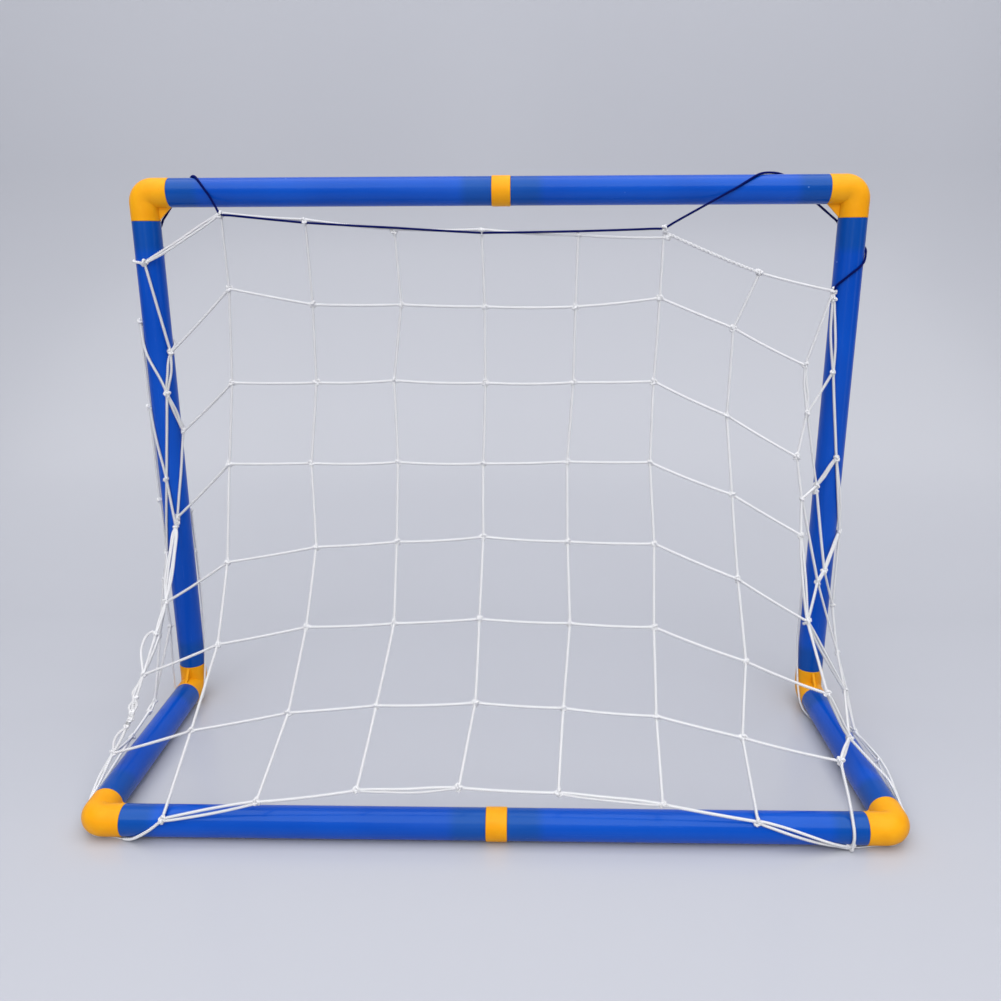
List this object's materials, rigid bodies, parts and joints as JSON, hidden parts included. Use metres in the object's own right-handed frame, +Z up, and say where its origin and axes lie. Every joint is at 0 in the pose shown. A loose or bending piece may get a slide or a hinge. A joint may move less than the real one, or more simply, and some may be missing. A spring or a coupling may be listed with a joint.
{
  "type": "toy football goal",
  "caption": "Knock-down toy football goal: plastic tube frame on plug-in corner connectors, with a slack knotted net laced to the crossbar and tied to the rear ground bar.",
  "frame": {"origin": "on the ground, on the goal line, midway between the uprights", "axes": "+X along the crossbar, +Y out through the mouth of the goal, +Z up"},
  "size_m": [0.6317, 0.2515, 0.4871],
  "materials": {
    "tube_plastic": "gloss",
    "connector_plastic": "satin",
    "net_cord": "matte",
    "lacing_cord": "matte"
  },
  "bodies": {
    "base": {"foot_elbow_left": "connector_plastic", "foot_elbow_right": "connector_plastic", "side_tube_left": "tube_plastic", "side_tube_right": "tube_plastic"},
    "rear_bar": {"rear_elbow_left": "connector_plastic", "rear_elbow_right": "connector_plastic", "rear_bar_tube_left": "tube_plastic", "rear_bar_tube_right": "tube_plastic", "rear_bar_coupler": "connector_plastic", "net_lower": "net_cord"},
    "uprights": {"upright_left": "tube_plastic", "upright_right": "tube_plastic", "net_middle": "net_cord", "lacing_tail_left": "lacing_cord", "lacing_tail_right": "lacing_cord"},
    "crossbar": {"top_elbow_left": "connector_plastic", "top_elbow_right": "connector_plastic", "crossbar_tube_left": "tube_plastic", "crossbar_tube_right": "tube_plastic", "crossbar_coupler": "connector_plastic", "net_upper": "net_cord", "lacing_cord": "lacing_cord"}
  },
  "joints": [
    {"name": "upright_lift", "type": "slide", "parent": "base", "child": "uprights", "axis": [0, 0, 1], "range_m": [0, 0.03]},
    {"name": "crossbar_lift", "type": "slide", "parent": "uprights", "child": "crossbar", "axis": [0, 0, 1], "range_m": [0, 0.03]},
    {"name": "rear_bar_pull", "type": "slide", "parent": "base", "child": "rear_bar", "axis": [0, -1, 0], "range_m": [0, 0.03]}
  ]
}
